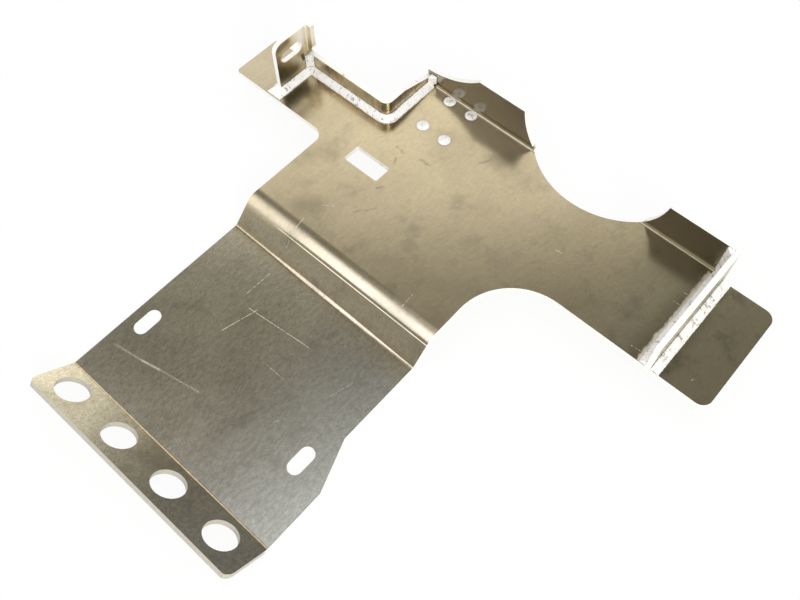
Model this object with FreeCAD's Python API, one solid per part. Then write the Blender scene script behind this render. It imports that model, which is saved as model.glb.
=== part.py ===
"""Transmission guard: one folded aluminium sheet with three upright plates welded on.

Lengths are millimetres. The origin is midway between the two mounting slots, on the top face
of the lower panel. X runs across the vehicle, Y from the front lip to the rear flanges, Z up.
The sheet is drawn as one folded section across its full width. Its outline is then cut in plan,
the way the blank is cut, and the lip and the rear flanges are trimmed in their own planes.
"""
import math
import os

import FreeCAD
import Part

V = FreeCAD.Vector
UP = V(0, 0, 1)

# Sheet and folds
SHEET = 5.0
FOLD_R = 3.0
JOGGLE_R = 7.0

# Lower panel, measured from the slots
SLOT_SPACING = 190.0
SLOT_WIDTH = 13.5
SLOT_LENGTH = 27.5
SLOT_TO_LIP = 67.0
LEFT_MARGIN = 16.5
RIGHT_MARGIN = 13.5
LOWER_LENGTH = 189.0
TAPER_WIDTH = 17.0
TAPER_START = 57.5
TAPER_LENGTH = 46.5

# Front lip, folded up along the front of the lower panel
LIP_ANGLE = 38.0
LIP_LENGTH = 46.5
LIP_CORNER_R = 10.0
LIP_HOLE_D = 30.0
LIP_HOLE_PITCH = 60.0
LIP_HOLE_COUNT = 4
LIP_HOLE_CENTRE_X = 5.0
LIP_HOLE_OUT = 22.0

# Joggle that lifts the upper panel
JOGGLE_RISE = 23.0
JOGGLE_ANGLE = 45.0

# Upper panel with its two arms and end tabs
UPPER_LENGTH = 236.0
LEFT_ARM_REACH = 122.5
LEFT_TAB_CORNER_R = 4.0
RIGHT_ARM_REACH = 207.0
RIGHT_TAB_CORNER_R = 10.0
RIGHT_TAB_SETBACK = 2.5
LEFT_ARM_R = 12.0
RIGHT_ARM_R = 60.0
WINDOW_INSET = 55.0
WINDOW_SETBACK = 114.5
WINDOW_LENGTH = 41.0
WINDOW_WIDTH = 19.5
WINDOW_CORNER_R = 2.0

# Rear flanges and the round cut between them
FLANGE_HEIGHT = 41.0
RIGHT_FLANGE_HEIGHT = 38.5
CUT_OFFSET = 5.0
CUT_BACK = 63.0
CUT_R = 86.0
FLANGE_CUT_RISE = 51.0
FLANGE_CUT_R = 80.0
FLANGE_TAPER_RUN = 57.5
FLANGE_TAPER_R = 100.0
FLANGE_END_HEIGHT = 15.5

# Notch wall, a strip that follows the notch behind the left arm
NOTCH_DEPTH = 66.5
WALL_INSET = 35.0
WALL_HEIGHT = 21.5
WALL_TAPER_RUN = 41.0
WALL_END_HEIGHT = 10.0

# Left ear, with a slot like those in the lower panel
EAR_INSET = 54.0
EAR_DEPTH = 46.5
EAR_SETBACK = 10.5
EAR_HEIGHT = 58.0
EAR_CORNER_R = 9.0
EAR_RETURN = 5.5
EAR_RETURN_Z = 26.0
EAR_RETURN_RISE = 6.0
EAR_SLOT_BACK = 19.5
EAR_SLOT_Z = 39.0

# Right upright across the right arm
UPRIGHT_INSET = 58.5
UPRIGHT_HEIGHT = 38.5

# Welds
BEAD = 7.0
OUTER_BEAD = 9.0
WRAP_BEAD = 10.0
BEAD_BULGE = 0.8
PLUG_D = 13.5
PLUG_RISE = 1.2
PLUG_INSET = 43.0
PLUG_SETBACK = 24.3
PLUG_PITCH_X = 27.0
PLUG_PITCH_Y = 40.5

# Places that follow from the dimensions above
TOP = JOGGLE_RISE
LEFT_EDGE = -SLOT_SPACING / 2.0 - LEFT_MARGIN
RIGHT_EDGE = SLOT_SPACING / 2.0 + RIGHT_MARGIN
FRONT_RIGHT_EDGE = RIGHT_EDGE + TAPER_WIDTH
LEFT_TAB_END = LEFT_EDGE - LEFT_ARM_REACH
RIGHT_TAB_END = RIGHT_EDGE + RIGHT_ARM_REACH
LIP_FOLD_Y = -SLOT_TO_LIP
TAPER_START_Y = LIP_FOLD_Y + TAPER_START
TAPER_END_Y = TAPER_START_Y + TAPER_LENGTH
JOGGLE_Y = LIP_FOLD_Y + LOWER_LENGTH
FLANGE_BEND_Y = JOGGLE_Y + UPPER_LENGTH
FLANGE_FACE_Y = FLANGE_BEND_Y + FOLD_R
REAR_Y = FLANGE_FACE_Y + SHEET
RIGHT_TAB_REAR_Y = FLANGE_BEND_Y - RIGHT_TAB_SETBACK
FLANGE_TOP = max(FLANGE_HEIGHT, RIGHT_FLANGE_HEIGHT)
WINDOW_X = LEFT_EDGE + WINDOW_INSET
WINDOW_Y = FLANGE_BEND_Y - WINDOW_SETBACK
CUT_X = RIGHT_EDGE + CUT_OFFSET
WALL_FACE_X = LEFT_EDGE + WALL_INSET
WALL_FACE_Y = FLANGE_FACE_Y - NOTCH_DEPTH
WALL_BACK_X = WALL_FACE_X - SHEET
WALL_BACK_Y = WALL_FACE_Y + SHEET
WALL_TURN = FOLD_R + SHEET
FLANGE_TAPER_X = WALL_FACE_X + FLANGE_TAPER_RUN
EAR_FACE_X = LEFT_TAB_END + EAR_INSET
EAR_BACK_X = EAR_FACE_X - SHEET
EAR_RETURN_X = EAR_FACE_X + EAR_RETURN
EAR_FRONT_Y = WALL_BACK_Y - EAR_DEPTH
ARM_FRONT_Y = EAR_FRONT_Y - EAR_SETBACK
UPRIGHT_FACE_X = RIGHT_TAB_END - UPRIGHT_INSET
UPRIGHT_BACK_X = UPRIGHT_FACE_X + SHEET
PLUG_X = WALL_FACE_X + PLUG_INSET
CLEAR = 5.0


def mid_arc(start, middle, end):
    return Part.Arc(start, middle, end).toShape()


def polygon(points):
    return Part.Face(Part.makePolygon(points + [points[0]]))


def between(a, b):
    return V(b.x - a.x, b.y - a.y, b.z - a.z).normalize()


def rounded_outline(corners):
    """Closed wire through (point, radius) corners in order; radius 0 keeps a corner sharp."""
    count = len(corners)
    joints = []
    for i in range(count):
        point, radius = corners[i]
        back = between(point, corners[i - 1][0])
        ahead = between(point, corners[(i + 1) % count][0])
        if radius <= 0.0:
            joints.append((point, None, point))
            continue
        half = back.getAngle(ahead) / 2.0
        reach = radius / math.tan(half)
        centre = point + (back + ahead).normalize() * (radius / math.sin(half))
        top = centre + between(centre, point) * radius
        joints.append((point + back * reach, top, point + ahead * reach))
    edges = []
    for i in range(count):
        start, top, end = joints[i]
        if top is not None:
            edges.append(mid_arc(start, top, end))
        following = joints[(i + 1) % count][0]
        if end.distanceToPoint(following) > 1e-6:
            edges.append(Part.makeLine(end, following))
    return Part.Wire(edges)


def offset_line(points, bends, side):
    """Edges of one face of a folded strip, from its mid line and the bend radius at each corner."""
    edges = []
    last = None
    for i in range(len(points)):
        if i == 0:
            ahead = between(points[0], points[1])
            last = points[0] + V(0, -ahead.z, ahead.y) * side
            continue
        back = between(points[i], points[i - 1])
        normal = V(0, back.z, -back.y)
        if points[i] is points[-1]:
            edges.append(Part.makeLine(last, points[i] + normal * side))
            continue
        ahead = between(points[i], points[i + 1])
        half = back.getAngle(ahead) / 2.0
        reach = bends[i] / math.tan(half)
        centre = points[i] + (back + ahead).normalize() * (bends[i] / math.sin(half))
        toward = 1.0 if between(points[i] + back * reach, centre).dot(normal) > 0 else -1.0
        radius = bends[i] - toward * side
        start = points[i] + back * reach + normal * side
        end = points[i] + ahead * reach + V(0, -ahead.z, ahead.y) * side
        edges.append(Part.makeLine(last, start))
        edges.append(mid_arc(start, centre + between(centre, points[i]) * radius, end))
        last = end
    return edges


def folded_strip(points, inner, x_from, x_to):
    """Folded sheet across X: mid line in YZ, inside radius at each bend."""
    bends = [r + SHEET / 2.0 for r in inner]
    upper = offset_line(points, bends, SHEET / 2.0)
    lower = offset_line(points, bends, -SHEET / 2.0)
    caps = []
    for k in (0, -1):
        a = upper[k].Vertexes[k].Point
        b = lower[k].Vertexes[k].Point
        caps.append(Part.makeLine(a, b))
    wire = Part.Wire(Part.__sortEdges__(upper + lower + caps))
    face = Part.Face(wire)
    face.translate(V(x_from, 0, 0))
    return face.extrude(V(x_to - x_from, 0, 0))


def slot_tool(centre, along, through, length, width, depth):
    """Round-ended slot cutter: centre of the slot, long direction, cutting direction."""
    across = through.cross(along).normalize()
    half = length / 2.0 - width / 2.0
    a = centre + along * half
    b = centre - along * half
    w = across * (width / 2.0)
    edges = [
        Part.makeLine(b - w, a - w),
        mid_arc(a - w, a + along * (width / 2.0), a + w),
        Part.makeLine(a + w, b + w),
        mid_arc(b + w, b - along * (width / 2.0), b - w),
    ]
    face = Part.Face(Part.Wire(edges))
    face.translate(through * (-depth / 2.0))
    return face.extrude(through * depth)


def sheet_section():
    """The whole folded section: lip, lower panel, joggle, upper panel, rear flange."""
    mid = SHEET / 2.0
    lip = math.radians(LIP_ANGLE)
    jog = math.radians(JOGGLE_ANGLE)
    run = JOGGLE_RISE / math.tan(jog)
    fold_y = LIP_FOLD_Y - mid * math.tan(lip / 2.0)
    tip = V(0, fold_y - LIP_LENGTH * math.cos(lip), LIP_LENGTH * math.sin(lip) - mid)
    shift = mid * math.tan(jog / 2.0)
    points = [
        tip,
        V(0, fold_y, -mid),
        V(0, JOGGLE_Y + shift, -mid),
        V(0, JOGGLE_Y + run + shift, TOP - mid),
        V(0, FLANGE_FACE_Y + mid, TOP - mid),
        V(0, FLANGE_FACE_Y + mid, TOP + FLANGE_TOP),
    ]
    inner = [0.0, FOLD_R, JOGGLE_R, JOGGLE_R, FOLD_R, 0.0]
    return folded_strip(points, inner, LEFT_TAB_END - CLEAR, RIGHT_TAB_END + CLEAR)


def plan_outline():
    """Blank outline seen from above; the round cut is made separately."""
    front = LIP_FOLD_Y - LIP_LENGTH - CLEAR
    rear = REAR_Y + CLEAR
    corners = [
        ((LEFT_EDGE, front), 0),
        ((FRONT_RIGHT_EDGE, front), 0),
        ((FRONT_RIGHT_EDGE, TAPER_START_Y), 0),
        ((RIGHT_EDGE, TAPER_END_Y), 0),
        ((RIGHT_EDGE, ARM_FRONT_Y), RIGHT_ARM_R),
        ((RIGHT_TAB_END, ARM_FRONT_Y), RIGHT_TAB_CORNER_R),
        ((RIGHT_TAB_END, RIGHT_TAB_REAR_Y), RIGHT_TAB_CORNER_R),
        ((UPRIGHT_BACK_X, RIGHT_TAB_REAR_Y), 0),
        ((UPRIGHT_BACK_X, rear), 0),
        ((WALL_BACK_X, rear), 0),
        ((WALL_BACK_X, WALL_BACK_Y), FOLD_R),
        ((LEFT_TAB_END, WALL_BACK_Y), LEFT_TAB_CORNER_R),
        ((LEFT_TAB_END, ARM_FRONT_Y), LEFT_TAB_CORNER_R),
        ((LEFT_EDGE, ARM_FRONT_Y), LEFT_ARM_R),
    ]
    low = -SHEET - CLEAR
    wire = rounded_outline([(V(x, y, low), r) for (x, y), r in corners])
    return Part.Face(wire).extrude(UP * (TOP + FLANGE_TOP + CLEAR - low))


def lip_frame(x, out):
    """Point on the top face of the front lip, and the directions along and out of it."""
    lip = math.radians(LIP_ANGLE)
    along = V(0, -math.cos(lip), math.sin(lip))
    normal = V(0, math.sin(lip), math.cos(lip))
    return V(x, LIP_FOLD_Y, 0) + along * out, along, normal


def lip_cuts():
    """Round holes in the front lip and its two rounded outer corners."""
    tools = []
    deep = 2 * SHEET
    for i in range(LIP_HOLE_COUNT):
        x = LIP_HOLE_CENTRE_X + (i - (LIP_HOLE_COUNT - 1) / 2.0) * LIP_HOLE_PITCH
        centre, along, normal = lip_frame(x, LIP_HOLE_OUT)
        tools.append(Part.makeCylinder(LIP_HOLE_D / 2.0, 2 * deep, centre - normal * deep, normal))
    reach = SHEET / 2.0 * math.tan(math.radians(LIP_ANGLE) / 2.0) + LIP_LENGTH
    far = LIP_CORNER_R + CLEAR
    for x, inward in ((LEFT_EDGE, 1.0), (FRONT_RIGHT_EDGE, -1.0)):
        centre, along, normal = lip_frame(x + inward * LIP_CORNER_R, reach - LIP_CORNER_R)
        corner, along, normal = lip_frame(x - inward * CLEAR, reach + CLEAR)
        square = [centre, centre - V(inward, 0, 0) * far, corner, centre + along * far]
        block = polygon([p - normal * deep for p in square]).extrude(normal * 2 * deep)
        round_bar = Part.makeCylinder(LIP_CORNER_R, 2 * deep, centre - normal * deep, normal)
        tools.append(block.cut(round_bar))
    return tools


def round_cut():
    """The round cut carried across the fold: panel, bend and flange, meeting at the bend lines."""
    bend = V(CUT_X, FLANGE_BEND_Y, TOP + FOLD_R)
    wide = 2 * max(CUT_R, FLANGE_CUT_R)
    deep = 3 * SHEET
    panel_centre = V(CUT_X, FLANGE_BEND_Y + CUT_BACK, TOP - deep)
    in_panel = Part.makeCylinder(CUT_R, 2 * deep, panel_centre, UP)
    panel_side = Part.makeBox(2 * wide, wide, 4 * deep, bend - V(wide, wide, 2 * deep))
    flange_centre = V(CUT_X, FLANGE_BEND_Y, TOP + FLANGE_CUT_RISE)
    in_flange = Part.makeCylinder(FLANGE_CUT_R, 2 * deep, flange_centre, V(0, 1, 0))
    flange_side = Part.makeBox(2 * wide, 2 * deep, wide, bend - V(wide, 0, 0))
    narrow = math.sqrt(CUT_R ** 2 - CUT_BACK ** 2)
    broad = math.sqrt(FLANGE_CUT_R ** 2 - (FLANGE_CUT_RISE - FOLD_R) ** 2)
    return [in_panel.common(panel_side), in_flange.common(flange_side), bend_cut(bend, narrow, broad)]


def bend_cut(bend, narrow, broad):
    """Cutter through the bend, from its half width at the panel to the one at the flange."""
    steps = 4
    quarter = math.pi / 2.0
    reach = 1.01 * (FOLD_R + SHEET) / math.cos(quarter / (2 * steps))
    sections = []
    for i in range(steps + 1):
        turn = quarter * i / steps
        side = V(narrow + (broad - narrow) * i / steps, 0, 0)
        out = V(0, math.sin(turn), -math.cos(turn))
        near = bend + out * (FOLD_R / 2.0)
        far = bend + out * reach
        sections.append(Part.makePolygon([near - side, far - side, far + side, near + side, near - side]))
    return Part.makeLoft(sections, True, True)


def flange_cuts():
    """Top edges of the rear flanges, drawn in the plane of the flange and cut along Y."""
    start = FLANGE_BEND_Y + FOLD_R / 2.0
    depth = V(0, REAR_Y - start + CLEAR, 0)
    over = TOP + FLANGE_TOP + CLEAR
    tools = []
    for x_from, x_to, height in ((WALL_BACK_X - CLEAR, CUT_X, FLANGE_HEIGHT),
                                 (CUT_X, UPRIGHT_BACK_X + CLEAR, RIGHT_FLANGE_HEIGHT)):
        corner = V(x_from, start, TOP + height)
        tools.append(Part.makeBox(x_to - x_from, depth.y, over - corner.z, corner))
    low = V(WALL_BACK_X, start, TOP + FLANGE_END_HEIGHT)
    high = V(FLANGE_TAPER_X, start, TOP + FLANGE_HEIGHT)
    half = low.distanceToPoint(high) / 2.0
    sag = FLANGE_TAPER_R - math.sqrt(FLANGE_TAPER_R ** 2 - half ** 2)
    slope = between(low, high)
    dip = (low + high) * 0.5 + V(slope.z, 0, -slope.x) * sag
    left = low.x - CLEAR
    far = [high, V(high.x, start, over), V(left, start, over), V(left, start, low.z), low]
    edges = [mid_arc(low, dip, high)] + [Part.makeLine(a, b) for a, b in zip(far, far[1:])]
    tools.append(Part.Face(Part.Wire(edges)).extrude(depth))
    return tools


def guard_plate():
    """The folded sheet with its outline, holes, slots and window."""
    body = sheet_section().common(plan_outline())
    tools = []
    for side in (-1, 1):
        centre = V(side * SLOT_SPACING / 2.0, 0, -SHEET / 2.0)
        tools.append(slot_tool(centre, V(0, 1, 0), UP, SLOT_LENGTH, SLOT_WIDTH, 3 * SHEET))
    half_x = WINDOW_LENGTH / 2.0
    half_y = WINDOW_WIDTH / 2.0
    low = TOP - 2 * SHEET
    window = [(V(WINDOW_X + sx * half_x, WINDOW_Y + sy * half_y, low), WINDOW_CORNER_R)
              for sx, sy in ((-1, -1), (1, -1), (1, 1), (-1, 1))]
    tools.append(Part.Face(rounded_outline(window)).extrude(UP * 3 * SHEET))
    return body.cut(tools + lip_cuts() + round_cut() + flange_cuts())


def ear():
    """Upright plate on the left arm: rounded front corner, slot, short return at the rear top."""
    high = TOP + EAR_HEIGHT
    side = [
        (V(EAR_BACK_X, EAR_FRONT_Y, TOP), 0),
        (V(EAR_BACK_X, WALL_BACK_Y, TOP), 0),
        (V(EAR_BACK_X, WALL_BACK_Y, high), 0),
        (V(EAR_BACK_X, EAR_FRONT_Y, high), EAR_CORNER_R),
    ]
    plan = [
        (V(EAR_BACK_X, EAR_FRONT_Y, TOP), 0),
        (V(EAR_FACE_X, EAR_FRONT_Y, TOP), 0),
        (V(EAR_FACE_X, WALL_FACE_Y, TOP), FOLD_R),
        (V(EAR_RETURN_X, WALL_FACE_Y, TOP), 0),
        (V(EAR_RETURN_X, WALL_BACK_Y, TOP), 0),
        (V(EAR_BACK_X, WALL_BACK_Y, TOP), FOLD_R + SHEET),
    ]
    angle = Part.Face(rounded_outline(plan)).extrude(UP * EAR_HEIGHT)
    profile = Part.Face(rounded_outline(side)).extrude(V(SHEET + EAR_RETURN + CLEAR, 0, 0))
    body = angle.common(profile)
    near = WALL_FACE_Y - 2 * FOLD_R
    rise = EAR_RETURN_RISE * (EAR_RETURN + CLEAR) / EAR_RETURN
    below = [
        V(EAR_FACE_X, near, TOP),
        V(EAR_RETURN_X + CLEAR, near, TOP),
        V(EAR_RETURN_X + CLEAR, near, TOP + EAR_RETURN_Z + rise),
        V(EAR_FACE_X, near, TOP + EAR_RETURN_Z),
    ]
    relief = polygon(below).extrude(V(0, SHEET + 4 * FOLD_R, 0))
    slot_centre = V(EAR_FACE_X - SHEET / 2.0, EAR_FRONT_Y + EAR_SLOT_BACK, TOP + EAR_SLOT_Z)
    slot = slot_tool(slot_centre, V(0, 1, 0), V(1, 0, 0), SLOT_LENGTH, SLOT_WIDTH, 3 * SHEET)
    return body.cut([relief, slot])


def wall_path(offset):
    """Plan corners of a line beside the wall's plate-side face; offset is measured away from it."""
    return [V(EAR_FACE_X, WALL_FACE_Y - offset, TOP),
            V(WALL_FACE_X + offset, WALL_FACE_Y - offset, TOP),
            V(WALL_FACE_X + offset, FLANGE_FACE_Y, TOP)]


def fold_cope(x_from, x_to):
    """Corner snipped off a plate that stands on the panel and meets the rear flange."""
    corner = [
        V(x_from, FLANGE_BEND_Y, TOP),
        V(x_from, FLANGE_FACE_Y, TOP),
        V(x_from, FLANGE_FACE_Y, TOP + FOLD_R),
    ]
    return polygon(corner).extrude(V(x_to - x_from, 0, 0))


def notch_wall():
    """Strip bent once to follow the notch; its second leg tapers down to the rear flange."""
    a, b, c = wall_path(0.0)
    d, e, f = wall_path(-SHEET)
    plan = [(a, 0), (b, WALL_TURN), (c, 0), (f, 0), (e, FOLD_R), (d, 0)]
    body = Part.Face(rounded_outline(plan)).extrude(UP * WALL_HEIGHT)
    x = WALL_BACK_X - CLEAR
    end = FLANGE_FACE_Y + CLEAR
    fall = (WALL_HEIGHT - WALL_END_HEIGHT) / WALL_TAPER_RUN
    wedge = [
        V(x, FLANGE_FACE_Y - WALL_TAPER_RUN, TOP + WALL_HEIGHT),
        V(x, end, TOP + WALL_END_HEIGHT - CLEAR * fall),
        V(x, end, TOP + WALL_HEIGHT),
    ]
    taper = polygon(wedge).extrude(V(SHEET + 2 * CLEAR, 0, 0))
    return body.cut([taper, fold_cope(x, WALL_FACE_X + CLEAR)])


def upright():
    """Plain plate across the right arm, from its front edge to the face of the rear flange."""
    corner = V(UPRIGHT_FACE_X, ARM_FRONT_Y, TOP)
    body = Part.makeBox(SHEET, FLANGE_FACE_Y - ARM_FRONT_Y, UPRIGHT_HEIGHT, corner)
    return body.cut(fold_cope(UPRIGHT_FACE_X - CLEAR, UPRIGHT_BACK_X + CLEAR))


def bead_section(root, out, up_dir, leg, reach):
    """Fillet weld section: reach along the foot, leg up the plate, and a slightly bulged face."""
    a = root + out * reach
    b = root + up_dir * leg
    middle = (a + b) * 0.5 + (out + up_dir).normalize() * BEAD_BULGE
    return Part.Face(Part.Wire([Part.makeLine(root, a), mid_arc(a, middle, b), Part.makeLine(b, root)]))


def straight_bead(start, end, out, up_dir, leg=BEAD, reach=BEAD):
    return bead_section(start, out, up_dir, leg, reach).extrude(end - start)


def ear_welds():
    """Beads along both feet of the ear, joined round its front edge by a hipped end."""
    front = EAR_FRONT_Y
    inner_start = V(EAR_FACE_X, front, TOP)
    outer_start = V(EAR_BACK_X, front, TOP)
    inner = straight_bead(inner_start, V(EAR_FACE_X, WALL_FACE_Y, TOP), V(1, 0, 0), UP)
    outer = straight_bead(outer_start, V(EAR_BACK_X, WALL_BACK_Y - WALL_TURN, TOP), V(-1, 0, 0), UP)
    left = V(EAR_BACK_X - BEAD, front, TOP)
    right = V(EAR_FACE_X + BEAD, front, TOP)
    slope = straight_bead(left, right, V(0, -1, 0), UP, BEAD, WRAP_BEAD)
    hip = polygon([left, right, inner_start + UP * BEAD, outer_start + UP * BEAD])
    return [inner, outer, slope.common(hip.extrude(V(0, -WRAP_BEAD, 0)))]


def left_weld():
    """One run: round the ear, up its corner with the wall, along the wall to the flange."""
    corner = straight_bead(V(EAR_FACE_X, WALL_FACE_Y, TOP), V(EAR_FACE_X, WALL_FACE_Y, TOP + WALL_HEIGHT),
                           V(1, 0, 0), V(0, -1, 0))
    a, b, c = wall_path(0.0)
    pivot = V(b.x - WALL_TURN, b.y + WALL_TURN, TOP)
    first = straight_bead(a, V(pivot.x, b.y, TOP), V(0, -1, 0), UP)
    second = straight_bead(V(b.x, pivot.y, TOP), V(b.x, FLANGE_BEND_Y, TOP), V(1, 0, 0), UP)
    bend = bead_section(V(pivot.x, b.y, TOP), V(0, -1, 0), UP, BEAD, BEAD).revolve(pivot, UP, 90)
    foot = V(WALL_FACE_X, FLANGE_FACE_Y, TOP + FOLD_R)
    end_z = TOP + (WALL_END_HEIGHT + FLANGE_END_HEIGHT) / 2.0
    end = straight_bead(foot, V(foot.x, foot.y, end_z), V(1, 0, 0), V(0, -1, 0))
    return corner.fuse(ear_welds() + [first, bend, second, end]).removeSplitter()


def right_weld_inner():
    """Fillet along the inner foot of the upright, carried up the corner with the rear flange."""
    x = UPRIGHT_FACE_X
    inward = V(-1, 0, 0)
    foot = straight_bead(V(x, ARM_FRONT_Y, TOP), V(x, FLANGE_BEND_Y, TOP), inward, UP)
    start = V(x, FLANGE_FACE_Y, TOP + FOLD_R)
    corner = straight_bead(start, V(x, start.y, TOP + RIGHT_FLANGE_HEIGHT), inward, V(0, -1, 0))
    return foot.fuse(corner).removeSplitter()


def right_weld_outer():
    """Wider fillet along the outer foot of the upright, on the right tab."""
    start = V(UPRIGHT_BACK_X, ARM_FRONT_Y, TOP)
    end = V(UPRIGHT_BACK_X, RIGHT_TAB_REAR_Y, TOP)
    return straight_bead(start, end, V(1, 0, 0), UP, BEAD, OUTER_BEAD)


def plug_weld(column, row, sheet):
    """Low round cap left by a plug weld, lying on the sheet and its bend."""
    x = PLUG_X + (column - 0.5) * PLUG_PITCH_X
    y = FLANGE_BEND_Y - PLUG_SETBACK + (row - 0.5) * PLUG_PITCH_Y
    r = PLUG_D / 2.0
    ball = (r * r + PLUG_RISE * PLUG_RISE) / (2.0 * PLUG_RISE)
    cap = Part.makeSphere(ball, V(x, y, TOP - ball + PLUG_RISE))
    above = Part.makeBox(4 * r, 4 * r, 2 * PLUG_RISE, V(x - 2 * r, y - 2 * r, TOP))
    return cap.common(above).cut(sheet)


def main():
    os.makedirs("parts", exist_ok=True)
    sheet = guard_plate()
    shapes = {
        "guard_plate": sheet,
        "ear": ear(),
        "notch_wall": notch_wall(),
        "upright": upright(),
        "left_weld": left_weld(),
        "right_weld_inner": right_weld_inner(),
        "right_weld_outer": right_weld_outer(),
    }
    for column in (0, 1):
        for row in (0, 1):
            shapes["plug_weld_%d" % (2 * row + column + 1)] = plug_weld(column, row, sheet)
    for name, shape in shapes.items():
        if len(shape.Solids) == 1:
            shape = shape.Solids[0]
        print(name, shape.isValid(), len(shape.Solids), round(shape.Volume), shape.BoundBox)
        shape.exportStep("parts/%s.step" % name)


main()
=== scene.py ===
# %% [markdown]
# # A folded aluminium guard
# The object is one folded sheet with three upright plates welded on. The exact solids come from
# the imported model, so the shapes are already there. This lesson adds what a solid model lacks:
# rolled metal with its grain, smudges and scratches, sawn edges, and welds with ripples.

# %% Load the frame
import math
import bpy
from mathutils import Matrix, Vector


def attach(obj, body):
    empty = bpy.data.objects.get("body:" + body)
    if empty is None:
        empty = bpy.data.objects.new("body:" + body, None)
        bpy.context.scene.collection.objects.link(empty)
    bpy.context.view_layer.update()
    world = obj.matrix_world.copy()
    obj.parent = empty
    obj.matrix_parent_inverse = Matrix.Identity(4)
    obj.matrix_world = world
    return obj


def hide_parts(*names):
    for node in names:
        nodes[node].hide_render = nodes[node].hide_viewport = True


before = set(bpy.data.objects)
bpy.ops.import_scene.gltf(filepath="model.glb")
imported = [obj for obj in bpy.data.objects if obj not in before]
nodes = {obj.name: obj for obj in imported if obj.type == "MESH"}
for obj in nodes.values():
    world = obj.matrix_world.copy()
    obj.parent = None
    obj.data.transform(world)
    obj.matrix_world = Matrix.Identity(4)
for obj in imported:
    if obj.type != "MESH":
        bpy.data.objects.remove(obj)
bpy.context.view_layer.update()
scene = bpy.context.scene
print("nodes:", sorted(nodes))

# %% [markdown]
# ## Camera
# The camera stands above the right front corner and looks down on the guard at about 61 degrees.
# Its place could be found by eye, but it was worked out from the corners and holes of the part,
# so straight edges, slots and the round cut fall where they do in a real picture.

# %% Camera
MM = 0.001
FOCAL_PX = 860.55
FRAME_PX = 800.0
SENSOR_MM = 36.0
CAMERA_PLACE = Vector((301.6, -111.9, 672.7)) * MM
CAMERA_TARGET = Vector((64.57, 154.54, 23.0)) * MM


def make_camera(place, target):
    data = bpy.data.cameras.new("camera")
    data.sensor_width = SENSOR_MM
    data.sensor_fit = "HORIZONTAL"
    data.lens = FOCAL_PX * SENSOR_MM / FRAME_PX
    data.clip_start = 0.01
    data.clip_end = 50.0
    cam = bpy.data.objects.new("camera", data)
    scene.collection.objects.link(cam)
    cam.location = place
    cam.rotation_euler = (target - place).to_track_quat("-Z", "Y").to_euler()
    return cam


scene.camera = make_camera(CAMERA_PLACE, CAMERA_TARGET)
scene.view_settings.view_transform = "Standard"
print("lens", round(scene.camera.data.lens, 2))

# %% [markdown]
# ## Small helpers for node trees
# Every material below is a tree of nodes. Writing each node by hand takes four lines, so one
# helper makes a node, sets its values and links its inputs. A link is given as an output socket,
# anything else is set as a value. The others are short names for the nodes used most.

# %% Node helpers


def add(tree, kind, links=None, **settings):
    node = tree.nodes.new(kind)
    for key, value in settings.items():
        setattr(node, key, value)
    for key, value in (links or {}).items():
        if isinstance(value, bpy.types.NodeSocket):
            tree.links.new(value, node.inputs[key])
        else:
            node.inputs[key].default_value = value
    return node


def math_node(tree, operation, *values, clamp=False):
    links = dict(enumerate(values))
    return add(tree, "ShaderNodeMath", links, operation=operation, use_clamp=clamp).outputs[0]


def times(tree, a, b):
    return math_node(tree, "MULTIPLY", a, b)


def times_add(tree, a, b, c):
    return math_node(tree, "MULTIPLY_ADD", a, b, c)


def vector_node(tree, operation, *values):
    node = add(tree, "ShaderNodeVectorMath", dict(enumerate(values)), operation=operation)
    return node.outputs["Value" if operation in ("DOT_PRODUCT", "DISTANCE") else 0]


def scaled(tree, vector, factor):
    links = {0: vector, "Scale": factor}
    return add(tree, "ShaderNodeVectorMath", links, operation="SCALE").outputs[0]


def axes(tree, vector):
    return add(tree, "ShaderNodeSeparateXYZ", {0: vector}).outputs


def noise(tree, vector, scale, detail, rough=0.5):
    links = {"Vector": vector, "Scale": scale, "Detail": detail, "Roughness": rough}
    return add(tree, "ShaderNodeTexNoise", links).outputs


def ramp(tree, value, low, high, to_low=0.0, to_high=1.0, kind="SMOOTHSTEP"):
    links = {"Value": value, "From Min": low, "From Max": high, "To Min": to_low, "To Max": to_high}
    return add(tree, "ShaderNodeMapRange", links, interpolation_type=kind).outputs[0]


def band(tree, value, rise, fall):
    return times(tree, ramp(tree, value, *rise), ramp(tree, value, *fall))


def mix(tree, factor, a, b):
    return add(tree, "ShaderNodeMix", {0: factor, 6: a, 7: b}, data_type="RGBA").outputs[2]


print("node helpers ready")

# %% [markdown]
# ## Helpers for groups and materials
# A node group is a small tree with named inputs and outputs, which other trees use as one node.
# These helpers make a group, place it in a tree, and start an empty or a standard material.

# %% Group and material helpers
FLOAT = "NodeSocketFloat"
VECTOR = "NodeSocketVector"


def new_group(name, ins, outs):
    tree = bpy.data.node_groups.new(name, "ShaderNodeTree")
    for label, kind, default in ins:
        socket = tree.interface.new_socket(label, in_out="INPUT", socket_type=kind)
        if default is not None:
            socket.default_value = default
    for label, kind in outs:
        tree.interface.new_socket(label, in_out="OUTPUT", socket_type=kind)
    return tree, tree.nodes.new("NodeGroupInput").outputs, tree.nodes.new("NodeGroupOutput").inputs


def use_group(tree, group, links):
    return add(tree, "ShaderNodeGroup", links, node_tree=group).outputs


def bare_material(name):
    mat = bpy.data.materials.new(name)
    mat.use_nodes = True
    mat.node_tree.nodes.clear()
    return mat, mat.node_tree


def principled(name):
    mat = bpy.data.materials.new(name)
    mat.use_nodes = True
    return mat, mat.node_tree, mat.node_tree.nodes["Principled BSDF"]


print("group and material helpers ready")

# %% [markdown]
# ## Floor
# The guard lies on a pale studio floor. A plain white plane would show the shadow but turn grey,
# so most of what the camera and reflections see of it is its own white, and the rest keeps the
# shadow. From below the floor is clear, so that the underside can be looked at too.

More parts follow.
